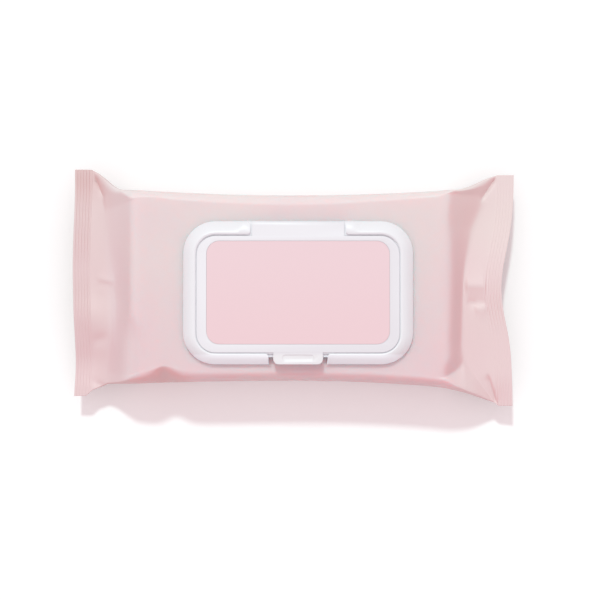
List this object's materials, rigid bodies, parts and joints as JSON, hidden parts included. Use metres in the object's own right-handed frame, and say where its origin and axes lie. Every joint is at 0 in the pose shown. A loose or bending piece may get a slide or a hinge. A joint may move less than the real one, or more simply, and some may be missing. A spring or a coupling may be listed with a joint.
{
  "type": "wet wipes pack",
  "caption": "Flow-wrapped film pack of wet wipes with crimped end fins and folded corners, and a moulded flip lid with hinge, latch tab and inlay on its front.",
  "frame": {"origin": "bottom centre of the whole pack, on the surface that it lies on", "axes": "+X along the pack from fin to fin, +Y towards the hinge of the lid, +Z out of the front face that carries the lid"},
  "size_m": [0.2121, 0.1134, 0.041],
  "materials": {
    "film": "satin pale pink packaging film",
    "adhesive": "hot-melt adhesive band",
    "white_plastic": "satin moulded white plastic",
    "peel_label": "smooth label film",
    "pink_inlay": "satin pink label film"
  },
  "bodies": {
    "pack": {"film_pack": "film", "glue_ring": "adhesive", "lid_base": "white_plastic", "peel_seal": "peel_label"},
    "lid": {"lid": "white_plastic", "lid_inlay": "pink_inlay"}
  },
  "joints": [
    {"name": "lid_hinge", "type": "hinge", "parent": "pack", "child": "lid", "pos_m": [0.0022, 0.02835, 0.0385], "axis": [-1, 0, 0], "range_deg": [0, 150]}
  ]
}
